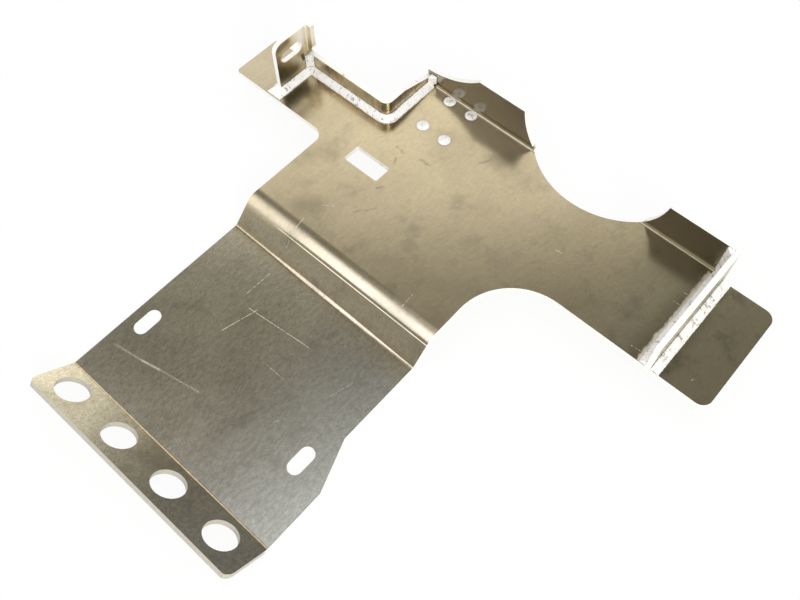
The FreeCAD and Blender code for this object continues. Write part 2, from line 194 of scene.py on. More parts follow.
# %% Floor
FLOOR_Z = -5.3 * MM
FLOOR_SIZE = 14.0
FLOOR_OWN_WHITE = 0.92
WHITE = (1, 1, 1, 1)


def plane(name, size):
    mesh = bpy.data.meshes.new(name)
    h = size / 2.0
    mesh.from_pydata([(-h, -h, 0), (h, -h, 0), (h, h, 0), (-h, h, 0)], [], [(0, 1, 2, 3)])
    obj = bpy.data.objects.new(name, mesh)
    scene.collection.objects.link(obj)
    return obj


def ray_mask(tree):
    path = tree.nodes.new("ShaderNodeLightPath").outputs
    seen = math_node(tree, "ADD", path["Is Camera Ray"], path["Is Glossy Ray"])
    return math_node(tree, "ADD", seen, path["Is Transmission Ray"], clamp=True)


def mix_shader(tree, factor, a, b):
    return add(tree, "ShaderNodeMixShader", {0: factor, 1: a.outputs[0], 2: b.outputs[0]})


def floor_material():
    mat, tree = bare_material("floor")
    diffuse = add(tree, "ShaderNodeBsdfDiffuse", {"Color": (0.88, 0.88, 0.88, 1)})
    glow = add(tree, "ShaderNodeEmission", {"Color": WHITE, "Strength": 1.0})
    blend = mix_shader(tree, times(tree, ray_mask(tree), FLOOR_OWN_WHITE), diffuse, glow)
    below = tree.nodes.new("ShaderNodeNewGeometry").outputs["Backfacing"]
    whole = mix_shader(tree, below, blend, tree.nodes.new("ShaderNodeBsdfTransparent"))
    add(tree, "ShaderNodeOutputMaterial", {"Surface": whole.outputs[0]})
    return mat


floor = plane("floor", FLOOR_SIZE)
floor.location = (0.0, 0.0, FLOOR_Z)
floor.data.materials.append(floor_material())
print("floor at", FLOOR_Z)

# %% [markdown]
# ## World
# The world gives the soft light that falls from all round, a little under full white, so that a
# pale colour doesn't burn out. Where the camera looks past the floor, it sees plain white.

# %% World
SOFT_LIGHT = 0.95
world = bpy.data.worlds.new("studio")
scene.world = world
world.use_nodes = True
sky = world.node_tree
sky.nodes.clear()
white = add(sky, "ShaderNodeBackground", {"Color": WHITE, "Strength": 1.0})
soft = add(sky, "ShaderNodeBackground", {"Color": (1.0, 0.99, 0.97, 1), "Strength": SOFT_LIGHT})
both = mix_shader(sky, ray_mask(sky), soft, white)
add(sky, "ShaderNodeOutputWorld", {"Surface": both.outputs[0]})
print("world", world.name)

# %% [markdown]
# ## Room seen in reflections
# Smooth metal shows mostly what it mirrors, and in a white room it would look flat. So a dim dome
# stands round the guard, with bright patches as the walls and softboxes of a studio would give.
# Only reflections see it. Its long strip at the front left draws the lines along the bends. Real
# lamps could do that, but their light would also fall on the welds and the floor.

# %% Room seen in reflections
MIDDLE = Vector((0.04, 0.13, 0.0))
ROOM_R = 3.0
ROOM_FALL = math.radians(92.0)
ROOM_LEVEL = 0.21


def half_ball(name, radius, rings=16, segments=48):
    points = [(0.0, 0.0, radius)]
    faces = []
    for i in range(1, rings + 1):
        fall = ROOM_FALL * i / rings
        for j in range(segments):
            turn = 2 * math.pi * j / segments
            points.append((radius * math.sin(fall) * math.cos(turn),
                           radius * math.sin(fall) * math.sin(turn), radius * math.cos(fall)))
    for j in range(segments):
        faces.append((0, 1 + j, 1 + (j + 1) % segments))
    for i in range(rings - 1):
        a, b = 1 + i * segments, 1 + (i + 1) * segments
        for j in range(segments):
            k = (j + 1) % segments
            faces.append((a + j, b + j, b + k, a + k))
    mesh = bpy.data.meshes.new(name)
    mesh.from_pydata(points, [], faces)
    obj = bpy.data.objects.new(name, mesh)
    scene.collection.objects.link(obj)
    return obj


def patch(tree, way, centre, inner, outer):
    far = vector_node(tree, "DISTANCE", way, Vector(centre).normalized())
    return ramp(tree, far, inner, outer, 1.0, 0.0)


def room_material():
    mat, tree = bare_material("room")
    place = tree.nodes.new("ShaderNodeTexCoord").outputs["Object"]
    way = vector_node(tree, "NORMALIZE", place)
    x, y, z = axes(tree, way)
    back_left = vector_node(tree, "DOT_PRODUCT", way, (-0.62, 0.78, 0.0))
    wall = times(tree, ramp(tree, back_left, 0.49, 0.63), ramp(tree, z, 0.38, 0.52))
    left = patch(tree, way, (-0.65, 0.75, 0.16), 0.08, 0.22)
    over = patch(tree, way, (-0.06, 0.06, 1.0), 0.08, 0.32)
    front = times(tree, ramp(tree, y, -0.62, -0.72), ramp(tree, x, -0.30, -0.60, 1.0, 1.4))
    low = times(tree, ramp(tree, z, 0.40, 0.20), ramp(tree, y, 0.2, 0.6))
    side = ramp(tree, x, -0.42, -0.49)
    strip = band(tree, y, (-0.08, -0.15), (-0.45, -0.40))
    strip = times(tree, strip, ramp(tree, x, -0.05, -0.20))
    strip = times(tree, strip, times_add(tree, side, -0.75, 1.0))
    fade = times(tree, side, band(tree, y, (-0.08, -0.15), (-0.82, -0.35)))
    tone = ROOM_LEVEL
    for mask, level in ((wall, 0.92), (low, -0.06), (left, 1.5), (over, 0.90), (front, 0.17),
                        (strip, 2.0), (fade, 0.75)):
        tone = times_add(tree, mask, level, tone)
    color = mix(tree, over, (1.0, 0.99, 0.96, 1), (0.93, 1.0, 1.10, 1))
    color = mix(tree, strip, color, (0.98, 1.02, 1.28, 1))
    glow = add(tree, "ShaderNodeEmission", {"Color": color, "Strength": tone})
    add(tree, "ShaderNodeOutputMaterial", {"Surface": glow.outputs[0]})
    return mat


room = half_ball("room", ROOM_R)
room.location = MIDDLE
room.data.materials.append(room_material())
room.visible_camera = False
room.visible_diffuse = False
room.visible_shadow = False
room.visible_transmission = False
print("room", len(room.data.polygons), "faces")

# %% [markdown]
# ## Lamp
# One large, weak lamp at the right front gives the welds and cut edges a lit and a shaded side. A
# strong one would only burn them out, because the world already lights them.

# %% Lamp
LAMP_WAY = Vector((0.75, -0.35, 0.60)).normalized()
LAMP_DISTANCE = 2.4
LAMP_SIZE = 0.9
LAMP_POWER = 22.0


def lamp(name):
    data = bpy.data.lights.new(name, "AREA")
    data.shape = "RECTANGLE"
    data.size = data.size_y = LAMP_SIZE
    data.energy = LAMP_POWER
    data.color = (1.0, 0.99, 0.97)
    obj = bpy.data.objects.new(name, data)
    scene.collection.objects.link(obj)
    obj.location = MIDDLE + LAMP_WAY * LAMP_DISTANCE
    obj.rotation_euler = (MIDDLE - obj.location).to_track_quat("-Z", "Y").to_euler()
    return obj


print("lamp", lamp("fill").name)

# %% [markdown]
# ## Shared surface effects
# Sheet and plates share a few effects, so each is one node group that can be used anywhere: fine
# grain drawn out along the rolling direction, cloudy smudges from handling, and a mark along a
# straight line, which serves for scratches, smears and the tint beside a weld. A painted picture
# could hold them too, but nodes stay sharp at any size.

# %% Grain, smudges and lines


def grain_group():
    outs = [("Grain", FLOAT), ("Cloud", FLOAT)]
    tree, ins, outs = new_group("Rolled grain", [("Vector", VECTOR, None)], outs)
    along = vector_node(tree, "MULTIPLY", ins["Vector"], (1.0, 0.42, 1.0))
    fine = noise(tree, along, 1100.0, 3.0, 0.65)["Fac"]
    wide = noise(tree, along, 330.0, 4.0, 0.65)["Fac"]
    both = math_node(tree, "ADD", times(tree, wide, 0.5), times(tree, fine, 0.5))
    tree.links.new(ramp(tree, both, 0.30, 0.70), outs["Grain"])
    cloud = noise(tree, ins["Vector"], 16.0, 3.0, 0.55)["Fac"]
    tree.links.new(ramp(tree, cloud, 0.35, 0.68), outs["Cloud"])
    return tree


def smudge_group():
    sockets = [("Vector", VECTOR, None), ("Amount", FLOAT, 0.5)]
    tree, ins, outs = new_group("Smudges", sockets, [("Mask", FLOAT)])
    bend = noise(tree, ins["Vector"], 22.0, 2.0)["Color"]
    moved = vector_node(tree, "MULTIPLY_ADD", bend, (0.014, 0.014, 0.014), ins["Vector"])
    smear = noise(tree, moved, 38.0, 5.0, 0.62)["Fac"]
    mask = ramp(tree, smear, 0.50, 0.74)
    tree.links.new(times(tree, mask, ins["Amount"]), outs["Mask"])
    return tree


def line_group():
    sockets = [("Vector", VECTOR, None), ("Start", VECTOR, (0, 0, 0)), ("End", VECTOR, (0, 0, 0)),
               ("Core", FLOAT, 0.0002), ("Reach", FLOAT, 0.001)]
    tree, ins, outs = new_group("Line mark", sockets, [("Mask", FLOAT)])
    path = vector_node(tree, "SUBTRACT", ins["End"], ins["Start"])
    point = vector_node(tree, "SUBTRACT", ins["Vector"], ins["Start"])
    length = vector_node(tree, "DOT_PRODUCT", path, path)
    along = vector_node(tree, "DOT_PRODUCT", point, path)
    share = math_node(tree, "DIVIDE", along, length, clamp=True)
    away = vector_node(tree, "DISTANCE", point, scaled(tree, path, share))
    tree.links.new(ramp(tree, away, ins["Core"], ins["Reach"], 1.0, 0.0), outs["Mask"])
    return tree


GRAIN = grain_group()
SMUDGE = smudge_group()
LINE = line_group()


def lines(tree, place, marks, core, reach):
    """Strongest mask of straight marks, each with the x and y of its start and of its end, its
    height z (or a pair, one for each end), all in mm, and its strength."""
    total = 0.0
    for x0, y0, x1, y1, z, strength in marks:
        z0, z1 = z if isinstance(z, tuple) else (z, z)
        ends = {"Start": (x0 * MM, y0 * MM, z0 * MM), "End": (x1 * MM, y1 * MM, z1 * MM)}
        ends.update({"Vector": place, "Core": core * MM, "Reach": reach * MM})
        mask = times(tree, use_group(tree, LINE, ends)["Mask"], strength)
        total = math_node(tree, "MAXIMUM", mask, total)
    return total


print("groups:", GRAIN.name, SMUDGE.name, LINE.name)

# %% [markdown]
# ## Soft bends
# A press brake bends sheet over a rounded edge and leaves a wide, uneven curve and a fine crease
# where the tool's shoulder pressed. The solid has one plain radius. Instead of a new mesh, this
# group works out the direction that the wider bend would face at each place on the joggle, as a
# sum of small turns across both of its bends, and the shading follows it.

# %% Soft bends
JOGGLE_ANGLE = math.radians(45.0)
JOGGLE_HEAD = (0, 0.145, 0.023)
JOGGLE_FOOT = (0, 0.122, 0.0)
CREASE_TURN = math.radians(-24.0)


def bend_group():
    sockets = [("Vector", VECTOR, None), ("Side", VECTOR, None), ("Flat", VECTOR, None)]
    tree, ins, outs = new_group("Soft bends", sockets, [("Normal", VECTOR)])
    x, y, _ = axes(tree, ins["Vector"])
    across = Vector((0.0, math.cos(JOGGLE_ANGLE / 2), math.sin(JOGGLE_ANGLE / 2)))

    def past(corner):
        from_corner = vector_node(tree, "SUBTRACT", ins["Vector"], corner)
        return vector_node(tree, "DOT_PRODUCT", from_corner, across)

    head, foot = past(JOGGLE_HEAD), past(JOGGLE_FOOT)
    # The bend at the foot is widest in the middle of the guard.
    middle = band(tree, x, (-0.085, -0.010), (0.105, 0.030))
    half = times_add(tree, middle, 0.0010, 0.0005)
    edge = math_node(tree, "ADD", half, 0.0018)
    back_half, back_edge = times(tree, half, -1.0), times(tree, edge, -1.0)
    # Towards the left the bend at the head runs further down the slope.
    left = ramp(tree, x, -0.040, -0.082)
    slope = times_add(tree, left, -0.0125, -0.0068)
    # Each step has the bend that it belongs to, its two ends in metres and its turn in degrees.
    steps = [(head, 0.0108, 0.0046, 13), (head, 0.0046, -0.0050, 11), (head, -0.0050, slope, 21),
             (foot, back_edge, back_half, 13), (foot, back_half, half, 11), (foot, half, edge, 21)]
    angle = -JOGGLE_ANGLE
    for place, low, high, degrees in steps:
        turn = ramp(tree, place, low, high, 0.0, math.radians(degrees), "LINEAR")
        angle = math_node(tree, "ADD", turn, angle)
    crease = math_node(tree, "COMPARE", head, -0.0079, 0.0004)
    crease = times(tree, crease, math_node(tree, "SUBTRACT", 1.0, left))
    angle = times_add(tree, crease, CREASE_TURN, angle)
    up = axes(tree, ins["Side"])[2]
    sign = times_add(tree, math_node(tree, "GREATER_THAN", up, 0.0), 2.0, -1.0)
    bent_y = times(tree, math_node(tree, "SINE", angle), times(tree, sign, -1.0))
    bent_z = times(tree, math_node(tree, "COSINE", angle), sign)
    bent = add(tree, "ShaderNodeCombineXYZ", {"Y": bent_y, "Z": bent_z}).outputs[0]
    turned = add(tree, "ShaderNodeVectorTransform", {0: bent}, vector_type="NORMAL",
                 convert_from="OBJECT", convert_to="WORLD").outputs[0]
    inside = math_node(tree, "COMPARE", y, 0.135, 0.026)
    links = {0: inside, 4: ins["Flat"], 5: turned}
    whole = add(tree, "ShaderNodeMix", links, data_type="VECTOR").outputs[1]
    tree.links.new(whole, outs["Normal"])
    return tree


BENDS = bend_group()
print("group:", BENDS.name)

# %% [markdown]
# ## Marks
# A guard that has been handled and welded carries marks: scratches from tools and stones, rubbed
# streaks, dark smears, and the tints that heat leaves beside a weld. Two of the lists below are painted
# light instead: a pale painted reflection of the right inner weld on the sheet beside it, and a black
# spot of painted shade on the ear. Random noise could scatter such marks, but these are placed one by
# one, so that each stays where it belongs on the part.

# %% Marks
UPPER = 23.0
SCRATCHES = [
    (-50.1, 105.8, -50.7, 78.0, 0, 0.9), (-40.1, 37.9, -31.8, 71.4, 0, 0.9),
    (-38.4, 68.8, 30.2, 76.6, 0, 0.9), (9.3, 40.9, 33.3, 40.8, 0, 0.45),
    (73.7, 55.8, 80.0, 79.3, 0, 0.45), (54.7, 8.2, 59.3, 16.6, 0, 0.5),
    (-54.7, 181.4, -45.6, 188.0, UPPER, 0.7), (133.5, 284.6, 140.0, 285.4, UPPER, 0.8),
    (291.9, 255.7, 294.6, 260.4, UPPER, 0.6), (243.8, 323.4, 250.0, 323.8, UPPER, 0.9),
    (241.2, 310.3, 250.0, 310.7, UPPER, 0.8), (238.0, 250.8, 250.0, 251.9, UPPER, 0.9),
    (-57.3, 159.8, -55.0, 147.5, UPPER, 0.9), (-54.4, 139.0, -53.4, 131.5, (17.0, 9.5), 1.0),
    (68.9, 165.7, 70.0, 151.4, UPPER, 0.8),
]
STREAKS = [
    (-97.9, -32.6, -70.0, -27.5, 0, 0.45), (-70.0, -27.5, -52.0, -23.2, 0, 0.95),
    (-52.0, -23.2, -12.0, -14.8, 0, 0.35),
]
SMEARS = [
    (-21.1, 280.3, -11.4, 280.9, UPPER, 0.9), (-48.5, 277.8, -39.2, 275.5, UPPER, 0.8),
    (-36.6, 260.1, -39.7, 267.0, UPPER, 0.7), (-82.5, 224.7, -84.2, 230.6, UPPER, 0.8),
    (-30.1, 228.8, -26.8, 233.0, UPPER, 0.9), (-50.4, 171.6, -57.3, 182.1, UPPER, 0.8),
    (-27.9, 194.6, -14.7, 211.8, UPPER, 0.5), (23.0, 314.7, 30.1, 325.9, UPPER, 0.9),
    (-27.4, -60.5, -27.6, -57.8, 0, 0.9),
]
CLOUDS = [
    (-114.0, 205.0, -88.0, 228.0, UPPER, 0.55), (-68.0, 168.0, -60.0, 176.0, UPPER, 0.6),
    (33.0, 330.0, 38.0, 338.0, UPPER, 0.6), (8.0, 166.0, 58.0, 186.0, UPPER, 0.4),
    (72.0, 312.0, 76.0, 326.0, UPPER, 0.45), (-163.0, 255.0, -158.0, 280.0, UPPER, 0.8),
    (60.0, 175.0, 110.0, 205.0, UPPER, 0.35),
]
HEAT = [(256.0, 246.0, 256.0, 312.0, UPPER, 0.85), (-178.0, 246.0, -178.0, 290.0, UPPER, 0.4)]
# Painted reflection: a pale line on the sheet beside the right inner weld.
WELD_REFLECTION = [(250.0, 244.0, 250.0, 354.0, UPPER, 0.9)]
TOES = [(-180.0, 294.5, -84.0, 294.5, UPPER, 1.0), (-78.5, 299.0, -76.5, 361.0, UPPER, 0.75)]
PLUG_CENTRE = Vector((-33.5, 333.7, UPPER)) * MM
PLUG_CORNER = [(13.5, 20.25, 13.5, 20.35, 0.0, 1.0)]
EAR_DARK = [(-180.0, 252.0, -180.0, 270.0, (47.0, 38.0), 0.85)]
EAR_PATCH = [(-180.0, 257.0, -180.0, 268.0, (76.0, 78.0), 0.8)]
# Painted shade: a black spot on the ear just above the wall's top, by the corner weld.
EAR_SHADE_SPOT = [(-180.0, 285.6, -180.0, 286.4, (48.0, 42.0), 0.9)]
CRATERS = [
    (-47.5, 353.0, -46.0, 354.5, UPPER + 1.0, 0.75),
    (-21.0, 353.5, -19.0, 354.5, UPPER + 1.0, 0.85),
    (-47.6, 313.2, -47.2, 313.6, UPPER + 1.0, 0.3),
]
print(len(SCRATCHES), "scratches,", len(SMEARS), "smears")

# %% [markdown]
# ## Colour of the rolled sheet
# Bare mill aluminium looks warm here: khaki on the upper panel, paler and greyer on the lower one.
# The folded sheet is one piece, so one material covers it. Each panel could have its own, but the
# colour would then change in a hard line, so it fades with the place on the part instead. Painted light
# goes into the colour too: warm highlight tints on the lip's fold and the joggle's foot, and a painted
# dark reflection on the rear flange.

# %% Sheet colour
UPPER_TONE, LOWER_TONE = (0.70, 0.595, 0.39, 1), (0.81, 0.735, 0.54, 1)
RUBBED_TONE, RIGHT_TONE = (0.78, 0.76, 0.65, 1), (0.66, 0.585, 0.375, 1)
LEFT_TAB_TONE, FLANGE_DARK_REFLECTION_TONE = (0.61, 0.53, 0.38, 1), (0.39, 0.35, 0.285, 1)
FOOT_HIGHLIGHT_TINT, FOLD_HIGHLIGHT_TONE = (0.74, 0.60, 0.38, 1), (0.98, 0.74, 0.44, 1)


def sheet_color(tree, x, y, z, lower):
    color = mix(tree, lower, UPPER_TONE, LOWER_TONE)
    rubbed = times(tree, ramp(tree, y, 0.116, 0.090), ramp(tree, x, -0.02, 0.11))
    color = mix(tree, rubbed, color, RUBBED_TONE)
    right = times(tree, ramp(tree, x, 0.16, 0.27), ramp(tree, y, 0.20, 0.24))
    color = mix(tree, right, color, RIGHT_TONE)
    color = mix(tree, ramp(tree, x, -0.185, -0.195), color, LEFT_TAB_TONE)
    # Painted highlight: a warm tint along the bend at the joggle's foot, so that its highlight comes
    # out warm.
    foot = band(tree, y, (0.114, 0.119), (0.129, 0.124))
    color = mix(tree, times(tree, foot, 0.8), color, FOOT_HIGHLIGHT_TINT)
    # Painted highlight: a warm, bright line along the lip's fold.
    fold_highlight = math_node(tree, "COMPARE", y, -0.0672, 0.0007)
    color = mix(tree, times(tree, fold_highlight, 0.8), color, FOLD_HIGHLIGHT_TONE)
    # Painted dark reflection: the rear flange is darkened, as it looks when it mirrors the dim room.
    flange = math_node(tree, "COMPARE", y, 0.3605, 0.0030)
    flange = times(tree, flange, ramp(tree, z, 0.024, 0.028))
    return mix(tree, flange, color, FLANGE_DARK_REFLECTION_TONE)


print("sheet colour from", UPPER_TONE[:3], "to", LOWER_TONE[:3])

# %% [markdown]
# ## Dark and pale marks on the sheet
# Dirt, smears and heat darken the sheet, and scratches and rubbed streaks brighten it. A painted
# reflection of the right inner weld also brightens the sheet beside it. Each kind is drawn by the line
# group in its own width. Noise bends most of them or breaks them up, because a mark made by hand or by
# heat never looks ruled.

# %% Marks on the sheet
DIRT_TONE, HEAT_TONE = (0.20, 0.18, 0.12, 1), (0.20, 0.18, 0.11, 1)
TOE_TONE, HALO_TONE = (0.34, 0.24, 0.13, 1), (0.42, 0.40, 0.36, 1)


def dark_marks(tree, color, place, hand, grain, break_up):
    cloud = times(tree, lines(tree, hand, CLOUDS, 1.0, 17.0), 0.55)
    smear = times(tree, lines(tree, hand, SMEARS, 0.2, 2.2), break_up)
    dirt = math_node(tree, "MAXIMUM", times(tree, cloud, grain["Cloud"]), times(tree, smear, 0.55))
    color = mix(tree, dirt, color, DIRT_TONE)
    heat = times(tree, lines(tree, hand, HEAT, 7.0, 26.0), 0.55)
    color = mix(tree, heat, color, HEAT_TONE)
    toe = times(tree, lines(tree, hand, TOES, 7.8, 9.6), 0.6)
    color = mix(tree, toe, color, TOE_TONE)
    # The four plug welds lie evenly about their centre, so one mark serves for all of them.
    folded = vector_node(tree, "ABSOLUTE", vector_node(tree, "SUBTRACT", place, PLUG_CENTRE))
    halo = times(tree, lines(tree, folded, PLUG_CORNER, 6.8, 9.8), 0.35)
    return mix(tree, halo, color, HALO_TONE), dirt


def pale_marks_and_reflection(tree, place, hand, break_up):
    dashes = ramp(tree, noise(tree, place, 420.0, 1.0)["Fac"], 0.36, 0.62, 0.12, 0.85)
    scratch = times(tree, lines(tree, place, SCRATCHES, 0.05, 0.45), dashes)
    streak = times(tree, lines(tree, place, STREAKS, 0.1, 1.6), break_up)
    bright = math_node(tree, "MAXIMUM", scratch, times(tree, streak, 0.6), clamp=True)
    # Painted reflection: the right inner weld mirrored as a pale blur in the sheet beside it.
    weld_reflection = times(tree, lines(tree, hand, WELD_REFLECTION, 0.5, 3.6), 0.8)
    return math_node(tree, "MAXIMUM", bright, weld_reflection)


print("dark marks", len(CLOUDS + SMEARS + HEAT + TOES), "pale marks", len(SCRATCHES + STREAKS + WELD_REFLECTION))

# %% [markdown]
# ## Finish of the sheet
# The layers go on in turn: colour, grain, smudges, dark marks, and pale marks last, because a fresh
# scratch cuts through whatever lies on the metal. Pale marks are rough, so they are less metallic
# and scatter light. The grain is also a faint bump on top of the soft bends.

# %% Sheet material
CLOUD_TONE, SPECKLE_TONE = (0.30, 0.26, 0.17, 1), (0.25, 0.22, 0.16, 1)
SMUDGE_TONE, PALE_WEAR_AND_REFLECTION_TONE = (0.32, 0.28, 0.20, 1), (0.95, 0.90, 0.80, 1)


def sheet_material():
    mat, tree, shader = principled("sheet")
    coords = tree.nodes.new("ShaderNodeTexCoord").outputs
    place = coords["Object"]
    x, y, z = axes(tree, place)
    lower = ramp(tree, y, 0.150, 0.118)
    grain = use_group(tree, GRAIN, {"Vector": place})
    handled = ramp(tree, x, 0.20, 0.27, 0.38, 0.85)
    smudge = use_group(tree, SMUDGE, {"Vector": place, "Amount": handled})["Mask"]
    color = sheet_color(tree, x, y, z, lower)
    color = mix(tree, times(tree, grain["Cloud"], 0.12), color, CLOUD_TONE)
    speckle = times(tree, grain["Grain"], times_add(tree, lower, 0.32, 0.22))
    color = mix(tree, speckle, color, SPECKLE_TONE)
    color = mix(tree, smudge, color, SMUDGE_TONE)
    wander = noise(tree, place, 160.0, 2.0)["Color"]
    hand = vector_node(tree, "MULTIPLY_ADD", wander, (0.005, 0.005, 0.0), place)
    hand = vector_node(tree, "SUBTRACT", hand, (0.0025, 0.0025, 0.0))
    break_up = times_add(tree, grain["Grain"], 1.0, 0.15)
    color, dirt = dark_marks(tree, color, place, hand, grain, break_up)
    pale = pale_marks_and_reflection(tree, place, hand, break_up)
    # Pale wear and the painted reflection of the weld go on last.
    color = mix(tree, pale, color, PALE_WEAR_AND_REFLECTION_TONE)
    tree.links.new(color, shader.inputs["Base Color"])
    tree.links.new(times_add(tree, pale, -0.6, 1.0), shader.inputs["Metallic"])
    rough = times_add(tree, grain["Cloud"], 0.05, 0.19)
    rough = times_add(tree, pale, 0.35, rough)
    tree.links.new(times_add(tree, dirt, 0.10, rough), shader.inputs["Roughness"])
    flat = tree.nodes.new("ShaderNodeNewGeometry").outputs["Normal"]
    bent = use_group(tree, BENDS, {"Vector": place, "Side": coords["Normal"], "Flat": flat})
    bump = {"Height": grain["Grain"], "Strength": 0.042, "Distance": 0.0004,
            "Normal": bent["Normal"]}
    tree.links.new(add(tree, "ShaderNodeBump", bump).outputs[0], shader.inputs["Normal"])
    return mat


sheet_mat = sheet_material()
print(sheet_mat.name, len(sheet_mat.node_tree.nodes), "nodes")

# %% [markdown]
# ## Upright plates
# The ear, the wall and the upright come from the same stock, so they share the grain and smudges.
# Heat from welding has browned them near the foot, which is a tint that fades with height, and has left
# brown runs on the wall. The ear's rear top corner carries a painted highlight, and olive stains and a
# black spot of painted shade lie on the rest of it.

# %% Plate material
PLATE_TONE, PLATE_CLOUD = (0.72, 0.63, 0.44, 1), (0.36, 0.31, 0.21, 1)
PLATE_SMUDGE, BROWNED = (0.22, 0.19, 0.12, 1), (0.30, 0.22, 0.12, 1)
RUN_TONE, EAR_HIGHLIGHT_TONE = (0.30, 0.20, 0.10, 1), (0.92, 0.87, 0.76, 1)
OLIVE, PAINTED_SHADE_BLACK = (0.22, 0.20, 0.11, 1), (0.06, 0.06, 0.05, 1)


def plate_material():
    mat, tree, shader = principled("plates")
    place = tree.nodes.new("ShaderNodeTexCoord").outputs["Object"]
    x, y, z = axes(tree, place)
    grain = use_group(tree, GRAIN, {"Vector": place})
    smudge = use_group(tree, SMUDGE, {"Vector": place, "Amount": 0.7})["Mask"]
    color = mix(tree, times(tree, grain["Cloud"], 0.25), PLATE_TONE, PLATE_CLOUD)
    color = mix(tree, smudge, color, PLATE_SMUDGE)
    foot = times(tree, ramp(tree, z, 0.050, 0.030), 0.35)
    color = mix(tree, foot, color, BROWNED)
    upright = vector_node(tree, "MULTIPLY", place, (1.0, 1.0, 0.06))
    runs = ramp(tree, noise(tree, upright, 230.0, 2.0)["Fac"], 0.48, 0.66, 0.0, 0.55)
    runs = times(tree, runs, band(tree, x, (-0.172, -0.168), (-0.060, -0.066)))
    color = mix(tree, runs, color, RUN_TONE)
    # Painted highlight: the ear's rear top corner is made pale and less metallic, where the bend at its
    # rear catches the light.
    bright = times(tree, ramp(tree, y, 0.268, 0.286), ramp(tree, z, 0.052, 0.070))
    bright = times(tree, bright, ramp(tree, x, -0.160, -0.170, 0.0, 0.75))
    color = mix(tree, bright, color, EAR_HIGHLIGHT_TONE)
    olive = math_node(tree, "MAXIMUM", lines(tree, place, EAR_DARK, 3.0, 17.0),
                      lines(tree, place, EAR_PATCH, 1.0, 7.0))
    color = mix(tree, olive, color, OLIVE)
    # Painted shade: the black spot on the ear.
    color = mix(tree, lines(tree, place, EAR_SHADE_SPOT, 0.5, 3.0), color, PAINTED_SHADE_BLACK)
    tree.links.new(color, shader.inputs["Base Color"])
    tree.links.new(times_add(tree, bright, -0.5, 1.0), shader.inputs["Metallic"])
    tree.links.new(times_add(tree, grain["Cloud"], 0.08, 0.26), shader.inputs["Roughness"])
    bump = {"Height": grain["Grain"], "Strength": 0.06, "Distance": 0.0004}
    tree.links.new(add(tree, "ShaderNodeBump", bump).outputs[0], shader.inputs["Normal"])
    return mat


plate_mat = plate_material()
print(plate_mat.name, len(plate_mat.node_tree.nodes), "nodes")

# %% [markdown]
# ## Cut edges
# A sheared or sawn edge is rough, so it scatters light and looks almost white next to the smooth rolled
# faces. On the lip the edges face down and forward, so they are painted greyer as shade. The saw marks
# are a fine bump. Cutting real grooves would take far more triangles for the same look.

# %% Cut edge material
SAWN, SAWN_DARK = (0.95, 0.945, 0.92, 1), (0.84, 0.82, 0.77, 1)
STAINED, LIP_EDGE_SHADE = (0.62, 0.57, 0.48, 1), (0.47, 0.44, 0.36, 1)


def cut_material():
    mat, tree, shader = principled("cut_edge")
    place = tree.nodes.new("ShaderNodeTexCoord").outputs["Object"]
    saw = noise(tree, place, 900.0, 2.0)["Fac"]
    spots = noise(tree, place, 120.0, 3.0)["Fac"]
    color = mix(tree, ramp(tree, saw, 0.45, 0.75), SAWN, SAWN_DARK)
    color = mix(tree, ramp(tree, spots, 0.64, 0.78), color, STAINED)
    # Painted shade: the lip's edges, which face down and forward, are made greyer.
    on_lip = ramp(tree, axes(tree, place)[1], -0.068, -0.072)
    smooth = times(tree, on_lip, ramp(tree, saw, 0.35, 0.65, 1.0, 0.75))
    color = mix(tree, smooth, color, LIP_EDGE_SHADE)
    tree.links.new(color, shader.inputs["Base Color"])
    shader.inputs["Metallic"].default_value = 0.1
    shader.inputs["Roughness"].default_value = 0.6
    bump = {"Height": saw, "Strength": 0.25, "Distance": 0.0003}
    tree.links.new(add(tree, "ShaderNodeBump", bump).outputs[0], shader.inputs["Normal"])
    return mat


cut_mat = cut_material()
print(cut_mat.name, len(cut_mat.node_tree.nodes), "nodes")

# %% [markdown]
# ## Which faces are cut
# The edges are the faces that stand across the sheet. They could be picked by hand, but the folds
# follow a rule, so each face's direction is compared with those that the sheet can have there. The
# solids keep their meshes: only the material of each face is set.

# %% Dress the sheet and the plates
X_WAY, Y_WAY, Z_WAY = Vector((1, 0, 0)), Vector((0, 1, 0)), Vector((0, 0, 1))
LIP_ANGLE = math.radians(38.0)
LIP_FACE = Vector((0.0, math.sin(LIP_ANGLE), math.cos(LIP_ANGLE)))
SLOPE_FACE = Vector((0.0, -math.sin(JOGGLE_ANGLE), math.cos(JOGGLE_ANGLE)))
LIP_BEND = Vector((0, 0.3, 0.95))
JOGGLE_BEND = Vector((0, -0.38, 0.92))
FLANGE_BEND = Vector((0, 0.7, -0.7))
WALL_BEND = [Vector((0.7, 0.7, 0)), Vector((0.7, -0.7, 0))]
LIP_Y, LIP_BEND_Y = -69.0, -64.0
JOGGLE_START_Y, JOGGLE_END_Y = 117.0, 152.0
FLANGE_BEND_Y, FLANGE_Z = 357.0, 26.0
EAR_LIMIT_X, EAR_REAR_Y = -173.0, 291.0
UPRIGHT_LIMIT_X = 250.0
CUT_BELOW = 0.45


def sheet_direction(point):
    """Directions that a rolled face of the folded sheet can have at this place, in mm."""
    if point.y < LIP_Y:
        return [LIP_FACE]
    if point.y < LIP_BEND_Y:
        return [LIP_FACE, LIP_BEND, Z_WAY]
    if JOGGLE_START_Y < point.y < JOGGLE_END_Y:
        return [SLOPE_FACE, JOGGLE_BEND, Z_WAY]
    if point.y > FLANGE_BEND_Y:
        return [Y_WAY] if point.z > FLANGE_Z else [FLANGE_BEND, Y_WAY, Z_WAY]
    return [Z_WAY]


